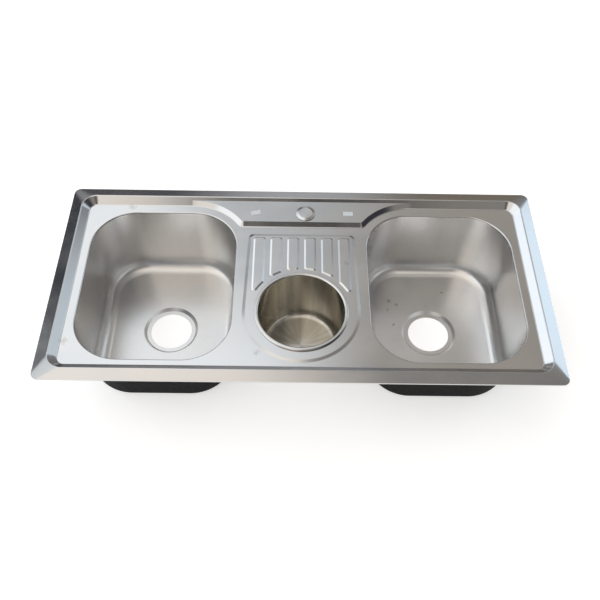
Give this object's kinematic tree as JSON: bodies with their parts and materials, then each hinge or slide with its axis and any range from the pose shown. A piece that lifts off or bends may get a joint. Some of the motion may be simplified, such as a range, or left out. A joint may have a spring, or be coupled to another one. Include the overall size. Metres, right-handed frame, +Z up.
{
  "type": "drop-in kitchen sink with two bowls and a centre waste bin",
  "caption": "Pressed stainless drop-in sink: a deep bowl at each end, a lift-out round waste bin between them under a ribbed drainer panel, a tap ledge behind, and swing-out rim clips.",
  "frame": {"origin": "on the bench that the drain seats stand on, under the middle of the rim", "axes": "+X along the sink to the right as seen by its user, +Y to the tap ledge at the back, +Z up"},
  "size_m": [1, 0.48, 0.2073],
  "materials": {
    "brushed_top": "fine satin, brushed along the length",
    "satin_bowl": "fine satin, drawn and polished",
    "spun_bin": "spun satin, turned rings and streaks",
    "turned_cap": "turned and polished",
    "plated_steel": "bright zinc plate",
    "sound_coat": "black sprayed coat, pebbled",
    "gasket_rubber": "matt black",
    "seal_foam": "closed-cell foam",
    "label_paper": "blank coated label"
  },
  "bodies": {
    "sink": {"deck": "brushed_top", "left_bowl": "satin_bowl", "right_bowl": "satin_bowl", "left_undercoat": "sound_coat", "right_undercoat": "sound_coat", "tap_hole_cover": "turned_cap", "cover_gasket": "gasket_rubber", "cover_stud": "plated_steel", "cover_clamp": "plated_steel", "rim_seal": "seal_foam", "clip_brackets": "plated_steel", "left_label": "label_paper", "right_label": "label_paper"},
    "bin": {"waste_bin": "spun_bin"},
    "nut": {"wing_nut": "plated_steel"},
    "front_left_screw": {"front_left_screw": "plated_steel"},
    "front_left_clip": {"front_left_clip": "plated_steel"},
    "front_right_screw": {"front_right_screw": "plated_steel"},
    "front_right_clip": {"front_right_clip": "plated_steel"},
    "right_side_screw": {"right_side_screw": "plated_steel"},
    "right_side_clip": {"right_side_clip": "plated_steel"},
    "back_right_screw": {"back_right_screw": "plated_steel"},
    "back_right_clip": {"back_right_clip": "plated_steel"},
    "back_left_screw": {"back_left_screw": "plated_steel"},
    "back_left_clip": {"back_left_clip": "plated_steel"},
    "left_side_screw": {"left_side_screw": "plated_steel"},
    "left_side_clip": {"left_side_clip": "plated_steel"}
  },
  "joints": [
    {"name": "bin_lift", "type": "slide", "parent": "sink", "child": "bin", "axis": [0, 0, 1], "range_m": [0, 0.16]},
    {"name": "nut_spin", "type": "hinge", "parent": "sink", "child": "nut", "pos_m": [0.008, 0.176, 0.19], "axis": [0, 0, 1], "continuous": true},
    {"name": "front_left_tighten", "type": "slide", "parent": "sink", "child": "front_left_screw", "axis": [0, 0, 1], "range_m": [0, 0.008]},
    {"name": "front_left_swing", "type": "hinge", "parent": "front_left_screw", "child": "front_left_clip", "pos_m": [-0.3, -0.196, 0.152], "axis": [0, 0, -1], "range_deg": [0, 90]},
    {"name": "front_right_tighten", "type": "slide", "parent": "sink", "child": "front_right_screw", "axis": [0, 0, 1], "range_m": [0, 0.008]},
    {"name": "front_right_swing", "type": "hinge", "parent": "front_right_screw", "child": "front_right_clip", "pos_m": [0.3, -0.196, 0.152], "axis": [0, 0, -1], "range_deg": [0, 90]},
    {"name": "right_side_tighten", "type": "slide", "parent": "sink", "child": "right_side_screw", "axis": [0, 0, 1], "range_m": [0, 0.008]},
    {"name": "right_side_swing", "type": "hinge", "parent": "right_side_screw", "child": "right_side_clip", "pos_m": [0.456, 0, 0.152], "axis": [0, 0, -1], "range_deg": [0, 90]},
    {"name": "back_right_tighten", "type": "slide", "parent": "sink", "child": "back_right_screw", "axis": [0, 0, 1], "range_m": [0, 0.008]},
    {"name": "back_right_swing", "type": "hinge", "parent": "back_right_screw", "child": "back_right_clip", "pos_m": [0.3, 0.196, 0.152], "axis": [0, 0, -1], "range_deg": [0, 90]},
    {"name": "back_left_tighten", "type": "slide", "parent": "sink", "child": "back_left_screw", "axis": [0, 0, 1], "range_m": [0, 0.008]},
    {"name": "back_left_swing", "type": "hinge", "parent": "back_left_screw", "child": "back_left_clip", "pos_m": [-0.3, 0.196, 0.152], "axis": [0, 0, -1], "range_deg": [0, 90]},
    {"name": "left_side_tighten", "type": "slide", "parent": "sink", "child": "left_side_screw", "axis": [0, 0, 1], "range_m": [0, 0.008]},
    {"name": "left_side_swing", "type": "hinge", "parent": "left_side_screw", "child": "left_side_clip", "pos_m": [-0.456, 0, 0.152], "axis": [0, 0, -1], "range_deg": [0, 90]}
  ]
}
